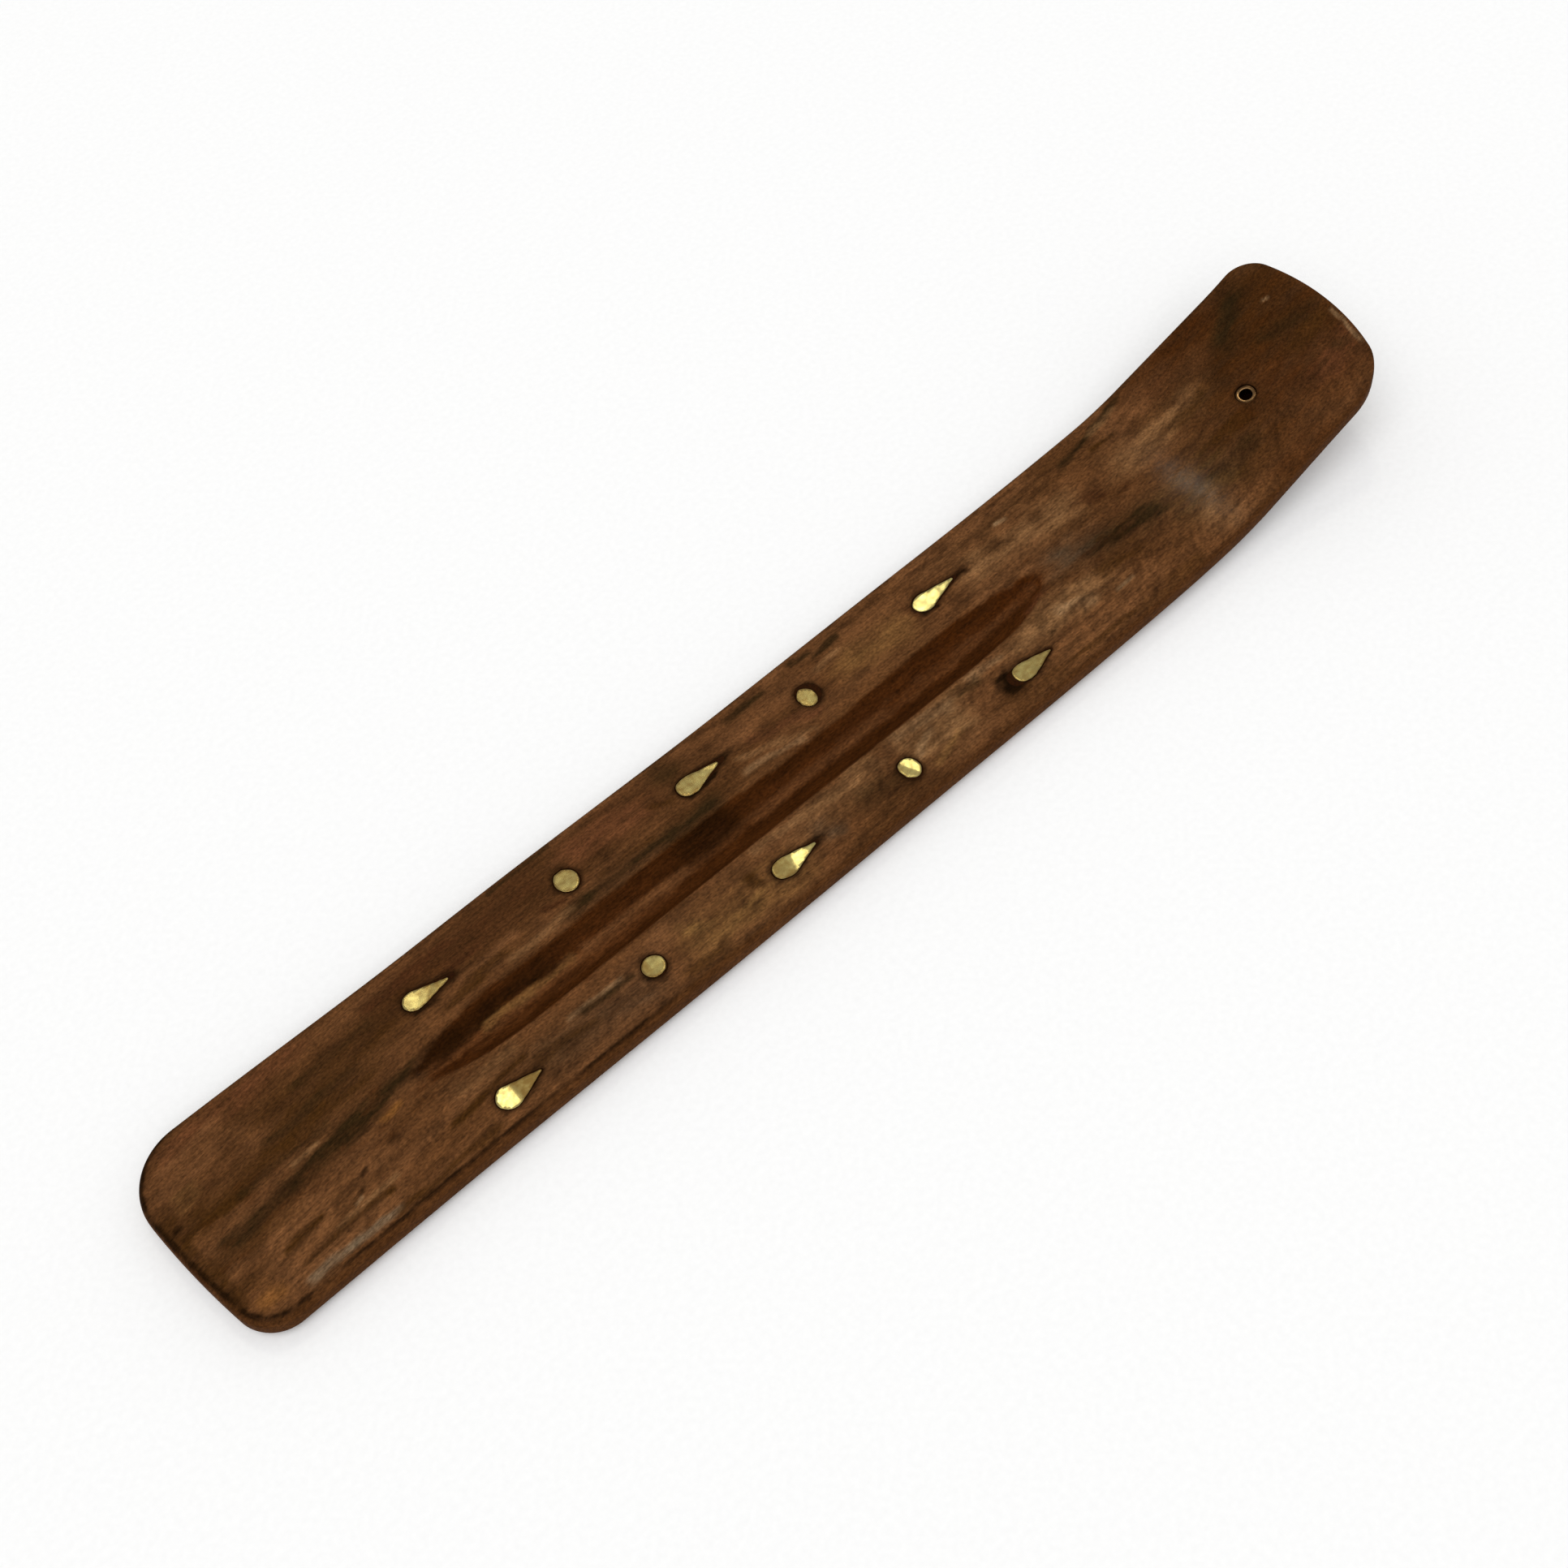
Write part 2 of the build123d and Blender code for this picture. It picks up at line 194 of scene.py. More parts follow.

# Streaks and patches of the top face, drawn one by one.
# From x, y to x, y (mm from the flat end, mm from the middle), half width, colour, strength
TOP_FIGURE = [
    # Broad tones
    (6, 15.5, 34, 16.8, 2, "russet", 0.5),
    (3, 10.5, 20, 11.5, 2, "sienna", 0.45),
    (22, 8.5, 50, 11, 3.4, "umber", 0.6),
    (3, 3.2, 40, 5.2, 2.6, "umber", 0.6),
    (2, -5.8, 18, -4.2, 1.6, "umber", 0.5),
    (8, -9.5, 34, -7.5, 3, "sienna", 0.55),
    (8, -14.5, 30, -14, 2.6, "sienna", 0.6),
    (46, 13, 80, 14, 3.6, "plum", 0.55),
    (84, 14, 103, 13, 3, "russet", 0.5),
    (78, 4.9, 110, 5, 1.6, "charcoal", 0.75),
    (44, -7.5, 58, -7, 1.6, "tan", 0.3),
    (58, -12.5, 80, -13.5, 3.2, "slate", 0.35),
    (84, -8, 118, -7.4, 2, "sienna", 0.55),
    (88, -13, 112, -14.5, 3.5, "ochre", 0.45),
    (125, -11.4, 135, -12.8, 2.8, "charcoal", 0.45),
    (116, 13, 124, 12, 2, "sienna", 0.4),
    (142, 10, 158, 9, 3.2, "ochre", 0.45),
    (138, -10.5, 151, -11, 4.2, "tan", 0.75),
    (164, 15.2, 190, 14.4, 1.6, "charcoal", 0.5),
    (170, 8.5, 196, 7.5, 3.4, "tan", 0.65),
    (164, -8.2, 186, -8.6, 2.6, "tan", 0.6),
    (168, -14.5, 190, -14.5, 2.6, "sienna", 0.55),
    (182, 0.5, 194, -1.5, 2.6, "slate", 0.6),
    (190, -3.2, 206, -4.2, 2.6, "charcoal", 0.8),
    (186, -12.5, 195, -13.5, 2.6, "sienna", 0.45),
    (206, 6.5, 228, 6, 3, "tan", 0.5),
    (212, 13.6, 230, 13, 2.8, "plum", 0.4),
    (216, -3, 232, -4.5, 3.4, "umber", 0.7),
    (216, -10.5, 232, -10, 2.4, "umber", 0.45),
    (206, -15, 216, -16, 2.2, "sienna", 0.6),
    (247, 16, 229, 3, 3.4, "charcoal", 0.65),
    (234, -4, 252, -10, 6, "plum", 0.5),
    (236, 7, 254, 7, 9, "umber", 0.65),
    (244, 14.5, 254, 13, 4, "umber", 0.5),
    # Painted shade along the rim of the flat end, with some dark finish
    (2, 8, 2.4, -13, 1.3, "umber", 0.6),
    (124, 16.2, 160, 16.2, 2.4, "sienna", 0.35),
    (162, 17.2, 194, 16.6, 2.2, "sienna", 0.6),
    (164, 14, 190, 12.6, 1.6, "sienna", 0.35),
    (168, 4, 186, 4.6, 3, "sienna", 0.65),
    (208, 13.5, 220, 13, 2.6, "sienna", 0.4),
    (8, 13.6, 18, 14.4, 1.6, "sienna", 0.4),
    (112, -9, 132, -9, 3, "tan", 0.22),
    (136, -7, 160, -7, 2, "tan", 0.22),
    (172, -6, 190, -8, 3, "tan", 0.28),
    (44, 12, 62, 9, 4, "umber", 0.25),
    (60, 7, 74, 6.5, 2, "umber", 0.3),
    (52, -12, 70, -13, 3, "umber", 0.25),
    (84, -16.2, 93, -17, 1.5, "umber", 0.5),
    (92, -8, 106, -8, 1.8, "umber", 0.3),
    (100, 15, 110, 15, 3, "umber", 0.25),
    (156, -16, 171, -16.5, 2.4, "umber", 0.4),
    (186, -17.6, 202, -17.4, 1.4, "umber", 0.4),
    (218, 3, 231, 2, 2, "umber", 0.4),
    (226, 1, 258, 1, 20, "mahogany", 0.5),
    (216, 17.6, 246, 16.8, 2.4, "mahogany", 0.5),
    (222, -16.6, 236, -16.6, 2.2, "mahogany", 0.4),
    (241, -9.6, 252, -7.4, 2.6, "russet", 0.45),
    (205, -7, 219, -7, 5, "olive", 0.4),
    # Painted sheen: the shine in the bend carried on towards the near edge as a lighter streak
    (209.5, -11, 211.5, -17.4, 2.6, "tan", 0.4),
    # Streaks and marks, from the flat end
    (5, 13.6, 16, 15, 0.9, "sienna", 0.5),
    (4, 7.2, 9, 7.8, 1.2, "ochre", 0.35),
    (28, 11.4, 44, 12.2, 0.9, "charcoal", 0.45),
    (1.8, 4.2, 3.6, 4, 0.6, "stain", 0.8),
    (20, 6.4, 38, 7.4, 0.9, "charcoal", 0.5),
    (2, 1.8, 14, 2, 1, "umber", 0.7),
    (12, 2.1, 30, 2.5, 0.7, "charcoal", 0.45),
    (20.5, 0.7, 26, 1.3, 0.4, "tan", 0.85),
    (5, -3.2, 20, -2.2, 1.4, "charcoal", 0.75),
    (17, -1.8, 33, -0.4, 1.7, "charcoal", 0.9),
    (30, -0.4, 45, 0.7, 1.3, "charcoal", 0.85),
    (35, -2.7, 39, -2.4, 0.6, "amber", 0.8),
    (12, -10.2, 20, -8.9, 0.6, "umber", 0.75),
    (25.2, -10.3, 26.8, -9.6, 0.4, "stain", 0.6),
    (27, -8.2, 29.2, -7.2, 0.45, "stain", 0.65),
    (33.2, -6.7, 35.4, -6.1, 0.4, "stain", 0.55),
    (24, -11.3, 25.6, -10.9, 0.3, "straw", 0.6),
    (20, -12.6, 32, -11.4, 0.6, "tan", 0.45),
    (4.5, -13.4, 9, -14.4, 1.6, "amber", 0.45),
    (13, -13.6, 30, -12.9, 0.6, "umber", 0.65),
    # A pale grey line just inside the near crease: wear, and a painted sheen
    (12, -16.4, 22, -15.8, 0.9, "ash", 0.5),
    (19, -16.6, 29, -16.3, 0.6, "ash", 0.5),
    (27, -16.8, 48, -16.2, 0.8, "umber", 0.55),
    (42, -10.8, 58, -9.4, 0.7, "umber", 0.7),
    # Beside the first inlays
    (44, 14.4, 62, 15.2, 0.9, "plum", 0.7),
    (56.5, 10.4, 64, 11, 0.8, "plum", 0.8),
    (58, 8.2, 70, 9, 0.8, "sienna", 0.5),
    (53, 5.8, 67, 6.8, 1, "umber", 0.55),
    (71, 17.6, 84, 17.6, 0.5, "charcoal", 0.7),
    (75.5, 8.8, 80.2, 7.9, 0.6, "plum", 0.8),
    (66, 5.2, 80, 5.6, 0.7, "tan", 0.35),
    (68, -10.2, 79, -10.6, 0.5, "charcoal", 0.6),
    (66, -9.4, 77, -9.7, 0.5, "straw", 0.4),
    (58, -11.6, 70, -12.6, 0.9, "umber", 0.5),
    # Between the first dots and the middle teardrops
    (86, 7.4, 98, 7, 0.6, "umber", 0.45),
    (105.5, 17.5, 107.5, 12.8, 2.6, "charcoal", 0.5),
    (101, 12.4, 104.5, 9.6, 0.9, "umber", 0.6),
    (114, 10.6, 118, 10.8, 0.6, "stain", 0.7),
    (117, 8.6, 131, 4.1, 0.6, "tan", 0.4),
    (121, 10, 134, 6.6, 0.9, "russet", 0.5),
    (116, 5.8, 128, 3.9, 0.8, "straw", 0.25),
    (89.5, -9.8, 93.5, -12.6, 1.2, "ochre", 0.65),
    (93, -15.6, 103, -13.4, 1.2, "ochre", 0.45),
    (102.6, -9.8, 104.4, -12.4, 1.1, "umber", 0.75),
    (106, -6.7, 118, -7.4, 0.9, "tan", 0.5),
    (116.5, -10.5, 121, -13.5, 1.6, "slate", 0.5),
    (118, -7.6, 134, -7.8, 1.4, "tan", 0.45),
    # Past the second dots
    (121, 15.6, 130, 15.9, 0.7, "charcoal", 0.7),
    (136, 16.9, 141, 16.7, 0.6, "charcoal", 0.6),
    (140, 15.4, 147, 15.8, 0.6, "charcoal", 0.7),
    (139, 12.8, 145, 13.6, 0.7, "tan", 0.5),
    (158.5, 12.4, 160, 8.4, 0.9, "plum", 0.6),
    (168, 10.2, 173, 10.6, 0.9, "plum", 0.7),
    (182.4, 13.8, 185, 13.1, 0.35, "straw", 0.7),
    (138, -6.8, 150, -8, 1.2, "straw", 0.35),
    (139, -12, 144, -9.4, 0.7, "straw", 0.4),
    (140, -16, 147, -13.6, 0.8, "ochre", 0.4),
    (150.5, -6.8, 157, -8.4, 1.2, "charcoal", 0.5),
    (155, -6.8, 163, -7.6, 0.8, "straw", 0.3),
    (172.3, -10.2, 173.6, -9.8, 0.45, "stain", 0.6),
    (176, -7.4, 183, -10.2, 1, "straw", 0.4),
    (170, -16.6, 186, -17, 0.6, "umber", 0.5),
    (186.4, -11.9, 190.8, -11.6, 0.4, "straw", 0.7),
    # Bend and tail
    (200, 14.2, 218, 16.9, 0.8, "charcoal", 0.75),
    (197.2, 5.8, 201.6, 5.2, 1.2, "plum", 0.75),
    (206, 12.8, 212, 12.2, 0.5, "umber", 0.7),
    (208, 15.4, 216, 15.8, 0.7, "tan", 0.3),
    (219, 4.6, 228, 5, 1.4, "umber", 0.55),
    (245.4, 15.2, 236.4, 9, 2.3, "charcoal", 0.95),
    (228, 15.4, 240, 15.4, 2.4, "mahogany", 0.75),
    (242, -1, 253, -2.2, 2, "umber", 0.5),
    (188, -2.6, 198, -4, 1, "stain", 0.4),
    (196, -4.8, 206, -5.8, 0.9, "charcoal", 0.6),
    (187, -7, 198, -7.4, 1.4, "umber", 0.55),
    (214.5, -7.6, 226, -8.4, 1.5, "charcoal", 0.45),
    (240, 3.8, 252, 0.8, 1.6, "charcoal", 0.55),
    (246, -6.2, 251, -9, 1.4, "charcoal", 0.45),
]

# Marks that only the top face has
TOP_MARKS = [
    # A chip by the tail's end, and a pale line along its end: wear and painted rim highlight
    (246.8, 9.3, 248, 8.9, 0.3, "straw", 0.5),
    (252.6, -1.6, 250.2, -10.6, 0.4, "straw", 0.5),
    # Filler smeared round the inlays
    (160.6, -10, 160.6, -15, 2.1, "stain", 1.2),
    (160.2, 8.6, 164, 7.9, 0.6, "stain", 0.95),
    (169.4, 10.4, 172.4, 10.2, 0.7, "stain", 0.8),
    (106.2, 8.3, 113.5, 9.3, 0.5, "stain", 0.8),
    (49.4, 8, 54, 8.2, 0.6, "stain", 0.6),
    (79.4, -12.4, 81.8, -14.2, 0.7, "stain", 0.7),
    (136.4, 11.8, 136.8, 8.6, 0.8, "stain", 0.85),
    (115, -12.4, 117.4, -12.2, 0.7, "stain", 0.8),
    # Soot past the ends of the ash groove, partly painted shade carrying the groove's dark sides on
    (43.4, -0.8, 49, 0.4, 1.2, "soot", 0.85),
    (45, 1.2, 50, 2.4, 0.8, "soot", 0.6),
    (44.4, -2.7, 49, -3.4, 0.7, "groove", 0.75),
    (170, 1.6, 178.6, 0.6, 1.2, "groove", 0.8),
    (174, -0.6, 179.6, -0.4, 1.5, "groove", 0.75),
    (168, -3.4, 178.6, -2, 0.9, "soot", 0.45),
]

# Soot, painted shade on the left wall and bare streaks in the ash groove
GROOVE_FIGURE = [
    (44, 1.6, 60, 2.4, 1.5, "soot", 0.75),
    (44, 0, 60, 1, 1.2, "soot", 0.75),
    (58, 2.2, 72, 1.8, 1.2, "soot", 0.8),
    (50, -1, 62, -0.5, 0.8, "floor", 0.6),
    (56, -0.3, 74, 0, 0.8, "ochre", 0.5),
    (52, -2.6, 94, -2.6, 0.9, "floor", 0.35),
    (103, 0.6, 114, 0.4, 2, "soot", 0.35),
    (76, 0, 98, -0.6, 0.8, "sienna", 0.35),
    (99, 2.4, 110, 2.2, 2, "soot", 0.8),
    (96, 0.6, 110, 0.4, 1, "soot", 0.55),
    (99, -1.4, 112, -1.6, 1, "groove", 0.5),
    (110, -2.6, 150, -2.8, 0.8, "soot", 0.25),
    (142, -0.6, 176, -0.8, 1.2, "groove", 0.4),
    (158, -2.4, 175, -2.6, 0.9, "soot", 0.25),
    (158, 2.4, 178, 1.6, 1.4, "groove", 0.6),
    (171, 3.4, 180, 1.5, 0.8, "russet", 0.6),
    (173, -4.2, 180, -2.4, 0.7, "russet", 0.5),
]

# How each brass piece was cut and filed: how far its belly is moved towards +X (mm), how tarnished its head
# and tail are (0 to 1.4; their dullness is partly a painted reflection), which way its top leans (x and y of
# its normal) and its folds. A fold: share along the piece, the way that the metal turns down beyond it
# (degrees from +X), how steeply (below 0 turns up)
BRASS_WORK = {
    "dot_front_left": (0, (1, 1.05), (-0.02, 0.03), []),
    "dot_front_right": (0, (1.15, 0.9), (-0.05, 0.04), []),
    "dot_rear_left": (0, (1.1, 1), (0, 0.01), [(0.4, 160, 0.02)]),
    "dot_rear_right": (0, (0.9, 0.7), (0.03, 0.03), [(0.5, 21, -0.1)]),
    "teardrop_front_left": (0.9, (0.8, 1.1), (0.038, -0.038), [(0.36, -45, -0.025), (0.6, -45, -0.03)]),
    "teardrop_front_right": (0, (0.6, 1.3), (0.05, -0.025), [(0.38, -5, -0.09)]),
    "teardrop_middle_left": (1.5, (1.05, 0.9), (0.03, 0.03), [(0.8, 50, -0.07)]),
    "teardrop_middle_right": (1.8, (1.1, 0.6), (0.057, -0.057), [(0.45, -23, -0.105), (0.78, 30, 0.09)]),
    "teardrop_rear_left": (1.4, (0.4, 0.5), (-0.05, -0.018), [(0.6, 0, 0.02)]),
    "teardrop_rear_right": (1.7, (1, 1), (0.02, 0.02), []),
}

# Floor, and lamps: where their light comes from, its strength, its width in degrees and its colour
floor_half, floor_drop = 2500, 0.01
LAMPS = {
    "window": ((0.27, 0.41, 0.87), 0.12, 6, (1, 0.99, 0.84)),
    "room": ((-0.35, -0.3, 0.88), 1.65, 60, (1, 1, 1)),
}
sky_colour, sky_strength = (1, 1, 1, 1), 0.55

# Camera of the photo: its place, its own axes, and the picture's size and focal length in pixels
camera_place = (-134.92, -171.41, 309.87)
camera_right = (0.7355, -0.6738, -0.0703)
camera_up = (0.5846, 0.5788, 0.5685)
picture_pixels, focal_pixels = 1932, 2800
sensor_width, nearest_seen = 36, 10


# Numbers and noise


def linear(colour):
    """sRGB from 0 to 255 as linear light."""
    share = np.array(colour, float) / 255
    return np.where(share <= 0.04045, share / 12.92, ((share + 0.055) / 1.055) ** 2.4)


def smooth_step(value, low, high):
    """A smooth rise from 0 at low to 1 at high, which may lie below low."""
    share = np.clip((value - low) / (high - low), 0, 1)
    return share * share * (3 - 2 * share)


def ways(angles):
    """Unit steps from above in the given directions."""
    return np.stack([np.cos(angles), np.sin(angles)], axis=-1)


def hill(away, reach):
    """1 where away is 0, falling off smoothly over about the reach."""
    return np.exp(-((away / reach) ** 2))


def hashed(cell, seed):
    """A steady random number from -1 to 1 for each whole-numbered cell."""
    number = cell[:, 0] * 374761393 + cell[:, 1] * 668265263 + cell[:, 2] * 2147483647 + seed * 974634777
    number = (number ^ (number >> 13)) * 1274126177
    number = number ^ (number >> 16)
    return (number & 0xFFFF) / 32767.5 - 1


def noise(points, scale, seed):
    """Smooth noise from -1 to 1. The scale gives the size of its blobs along x, y and z."""
    place = points / np.array(scale, float)
    cell = np.floor(place).astype(np.int64)
    share = place - cell
    share = share**3 * (share * (share * 6 - 15) + 10)
    total = np.zeros(len(points))
    for corner in np.ndindex(2, 2, 2):
        weight = np.prod(np.where(corner, share, 1 - share), axis=1)
        total += weight * hashed(cell + np.array(corner), seed)
    return total


def layered(points, scale, seed, layers):
    """Noise with finer and weaker layers added."""
    total = np.zeros(len(points))
    for layer in range(layers):
        total += noise(points, np.array(scale) / 2**layer, seed + layer) / 2**layer
    return total


def named_noise(name, points):
    return layered(points, *NOISES[name])


def evenly(path, count, closed):
    """Evenly spaced points along a path. Columns past x and y are carried along."""
    travelled = np.concatenate([[0], np.cumsum(np.hypot(*np.diff(path[:, :2], axis=0).T))])
    stations = np.linspace(0, travelled[-1], count, endpoint=not closed)
    return np.column_stack([np.interp(stations, travelled, column) for column in path.T])


def distance_to(places, points):
    """How far each point lies from the nearest place, seen from above."""
    tree = KDTree(len(places))
    for number, place in enumerate(places):
        tree.insert((*place, 0), number)
    tree.balance()
    return np.array([tree.find((x, y, 0))[2] for x, y in points[:, :2]])


# Shape of the board


def board_rise(x, offset):
    """How far the board has risen at x. The offset is how far the line lies outside the top's bends."""
    sweep, bend = sweep_radius + offset, bend_radius + offset
    bend_share = sin(tail_angle) - sin(sweep_angle)
    sweep_start = half_length - tail_length - bend_radius * bend_share - sweep_radius * sin(sweep_angle)
    bend_start = sweep_start + sweep * sin(sweep_angle)
    bend_reach = bend * bend_share
    along_sweep = np.clip(x - sweep_start, 0, sweep * sin(sweep_angle))
    along_bend = np.clip(x - bend_start, 0, bend_reach)
    along_tail = np.clip(x - bend_start - bend_reach, 0, None)
    rise = sweep - np.sqrt(sweep**2 - along_sweep**2)
    rise += bend * (cos(sweep_angle) - np.sqrt(1 - (along_bend / bend + sin(sweep_angle)) ** 2))
    return rise + along_tail * tan(tail_angle)


def top_height(x):
    return thickness + board_rise(x, 0)


def base_height(x):
    return board_rise(x, thickness)


def wander(line, x):
    """How far a hand-made line strays at x, smoothed between the places in its list."""
    places = np.linspace(0, 2 * half_length, wander_points)
    window = np.hanning(wander_window)
    padded = np.pad(np.interp(places, *np.array(line).T), wander_window // 2, mode="edge")
    smooth = np.convolve(padded, window / window.sum(), "valid")
    return np.interp(x + half_length, places, smooth)


def carved_height(x, y):
    """Height of the top face with the ash groove, whose edges are a little rounded."""
    left_stretch = 1 + wander(groove_left_line, x) / (groove_width / 2)
    across = np.where(y > pattern_offset, (y - pattern_offset) / left_stretch, pattern_offset - y)
    across = np.clip(across, 0, section_radius)
    beyond = np.maximum(np.maximum(cutter_start - x, x - cutter_end), 0)
    reach = cutter_radius + np.sqrt(section_radius**2 - across**2)
    groove = cutter_height + cutter_radius - np.sqrt(np.clip(reach**2 - beyond**2, 0, None))
    top = top_height(x)
    share = np.clip(0.5 + (groove - top) / (2 * groove_softness), 0, 1)
    return groove + (top - groove) * share - groove_softness * share * (1 - share)


def corner(end, side):
    """A corner's middle and radius, and the angles where it meets the end, is halved and meets the side."""
    way, end_radius, crown = end_arcs[end]
    radius = corner_radii[end, side]
    end_x = way * (half_length - end_radius)
    y = side * (half_width - radius)
    x = end_x + way * sqrt((end_radius - radius) ** 2 - (y - crown) ** 2)
    meets, straight = atan2(y - crown, x - end_x), side * pi / 2
    if end == "flat":
        meets, straight = meets % (2 * pi), straight % (2 * pi)
    return (x, y), radius, meets, (meets + straight) / 2, straight


def side_walk(first, second, count):
    """A side of the board between the middles of two corners: x, y and the angle that faces outwards."""
    middle, radius, meets, half, straight = corner(*first)
    next_middle, next_radius, next_meets, next_half, next_straight = corner(*second)
    if first[0] == second[0]:
        way, end_radius, crown = end_arcs[first[0]]
        arcs = [
            (middle, radius, half, meets),
            ((way * (half_length - end_radius), crown), end_radius, meets, next_meets),
            (next_middle, next_radius, next_meets, next_half),
        ]
    else:
        next_half += straight - next_straight
        arcs = [(middle, radius, half, straight), (next_middle, next_radius, straight, next_half)]
    path = []
    for centre, radius, start, end in arcs:
        angles = np.linspace(start, end, arc_points)
        path.append(np.column_stack([centre + radius * ways(angles), angles]))
    return evenly(np.concatenate(path), count, False)


def board_outline():
    """The four sides of the board from above, as walks from right to left and from flat end to tail."""
    sides = {
        "right": side_walk(("flat", -1), ("tail", -1), cells_along + 1),
        "tail": side_walk(("tail", -1), ("tail", 1), cells_across + 1),
        "left": side_walk(("tail", 1), ("flat", 1), cells_along + 1)[::-1],
        "flat": side_walk(("flat", 1), ("flat", -1), cells_across + 1)[::-1],
    }
    for side in sides.values():
        share = np.sin(side[:, 2])
        left, right = wander(left_side_line, side[:, 0]), wander(right_side_line, side[:, 0])
        side[:, 1] += share * np.where(share > 0, left, right)
    for end, column in (("flat", 0), ("tail", -1)):
        sides[end][0] = sides["right"][column]
        sides[end][-1] = sides["left"][column]
    return sides


def rim_at(x, y):
    """Width of the upper rim: broad along the right side near the flat end, narrowest at the tail."""
    flat_right_share = smooth_step(x, 0, broad_rim_end) * smooth_step(y, half_width / 2, -half_width)
    return rim_width + rim_extra * flat_right_share - rim_saved * smooth_step(x, *tail_end_zone)


def inset_sides(sides, share, extra):
    """The outline drawn in by a share of the rim's width, plus a steady width."""
    drawn = {}
    for name, line in sides.items():
        inset = share * rim_at(line[:, 0], line[:, 1]) + extra
        drawn[name] = line[:, :2] - inset[:, None] * ways(line[:, 2])
    return drawn


def patch(sides):
    """A grid of points stretched between four sides."""
    u = np.linspace(0, 1, len(sides["right"]))[:, None, None]
    v = np.linspace(0, 1, len(sides["flat"]))[None, :, None]
    right, left = sides["right"][:, None], sides["left"][:, None]
    flat, tail = sides["flat"][None], sides["tail"][None]
    across = (1 - v) * right + v * left
    along = (1 - u) * flat + u * tail
    corners = (1 - u) * ((1 - v) * right[0] + v * left[0]) + u * ((1 - v) * right[-1] + v * left[-1])
    return across + along - corners


def loop_of(sides):
    """The four sides joined into one loop, without their repeated corners."""
    forward = [sides["right"][:-1], sides["tail"][:-1]]
    return np.concatenate([*forward, sides["left"][:0:-1], sides["flat"][:0:-1]])


def grid_loop(numbers):
    """Numbers of the points round a grid, in the order of loop_of."""
    return np.concatenate([numbers[:-1, 0], numbers[-1, :-1], numbers[:0:-1, -1], numbers[0, :0:-1]])


def grid_faces(numbers):
    """Faces of a grid that looks upwards."""
    corners = [numbers[:-1, :-1], numbers[1:, :-1], numbers[1:, 1:], numbers[:-1, 1:]]
    return np.stack(corners, axis=-1).reshape(-1, 4)


def strip_faces(upper, lower):
    """Faces between two loops with as many points."""
    return np.stack([upper, lower, np.roll(lower, -1), np.roll(upper, -1)], axis=-1).tolist()


def halving_faces(upper, lower):
    """Faces between a loop and one with half as many points."""
    ends, middles = upper[::2], upper[1::2]
    return np.stack([ends, lower, np.roll(lower, -1), np.roll(ends, -1), middles], axis=-1).tolist()


def stacked_faces(rings, count, tube=False):
    """Faces of a form made of rings of points: strips, with caps or a strip back to the first ring."""
    loops = list(np.arange(rings * count).reshape(rings, count))
    faces = []
    if tube:
        loops.append(loops[0])
    else:
        faces += [loops[0].tolist(), loops[-1][::-1].tolist()]
    for upper, lower in zip(loops, loops[1:]):
        faces += strip_faces(upper, lower)
    return faces


def stacked(rings):
    """Points and faces of a form made of rings, each given by its plan and its height."""
    points = [np.column_stack([plan, np.broadcast_to(height, len(plan))]) for plan, height in rings]
    return np.concatenate(points), stacked_faces(len(rings), len(points[0]))


def tray_mesh(sides):
    """Points and faces of the whole board, before the pockets are cut. Its base has half as many cells."""
    profile = []
    for angle in np.linspace(rim_crease, pi / 2, rim_steps + 1):
        profile.append((1 - sin(angle), 0, rim_depth * (cos(rim_crease) - cos(angle))))
    for angle in np.linspace(0, pi / 2, lower_rim_steps + 1):
        profile.append((0, lower_rim * (1 - cos(angle)), thickness - lower_rim * (1 - sin(angle))))
    upper = patch(inset_sides(sides, *profile[0][:2]))
    lower_sides = inset_sides(sides, *profile[-1][:2])
    lower = patch({name: line[::2] for name, line in lower_sides.items()})
    upper_numbers = np.arange(upper[..., 0].size).reshape(upper.shape[:2])
    lower_numbers = upper_numbers.size + np.arange(lower[..., 0].size).reshape(lower.shape[:2])
    upper, lower = upper.reshape(-1, 2), lower.reshape(-1, 2)
    points = [
        np.column_stack([upper, carved_height(*upper.T)]),
        np.column_stack([lower, base_height(lower[:, 0])]),
    ]
    faces = [*grid_faces(upper_numbers).tolist(), *grid_faces(lower_numbers)[:, ::-1].tolist()]
    loop, first = grid_loop(upper_numbers), len(upper) + len(lower)
    for share, extra, drop in profile[1:-1]:
        plan = loop_of(inset_sides(sides, share, extra))
        top, base = top_height(plan[:, 0]), base_height(plan[:, 0])
        points.append(np.column_stack([plan, top + (base - top) * drop / thickness]))
        next_loop = first + np.arange(len(plan))
        faces += strip_faces(loop, next_loop)
        loop, first = next_loop, first + len(plan)
    faces += halving_faces(loop, grid_loop(lower_numbers))
    return np.concatenate(points), faces


# Pieces and meshes


def new_object(name, data):
    """A new object in the scene."""
    thing = bpy.data.objects.new(name, data)
    bpy.context.scene.collection.objects.link(thing)
    return thing


def new_piece(name, points, faces):
    """A new object from points in millimetres."""
    mesh = bpy.data.meshes.new(name)
    mesh.from_pydata((np.asarray(points) * MM).tolist(), [], faces)
    mesh.validate()
    return new_object(name, mesh)


def read(rows, field):
    """Rows of x, y and z from a mesh's data."""
    flat = np.zeros(len(rows) * 3)
    rows.foreach_get(field, flat)
    return flat.reshape(-1, 3)


def set_attributes(mesh, **attributes):
    """Keep values for each point, for the material to read."""
    kinds = {1: ("FLOAT", "value"), 3: ("FLOAT_VECTOR", "vector"), 4: ("FLOAT_COLOR", "color")}
    for name, values in attributes.items():
        values = np.ascontiguousarray(values, np.float32)
        kind, field = kinds[values.size // len(mesh.vertices)]
        mesh.attributes.new(name, kind, "POINT").data.foreach_set(field, values.ravel())


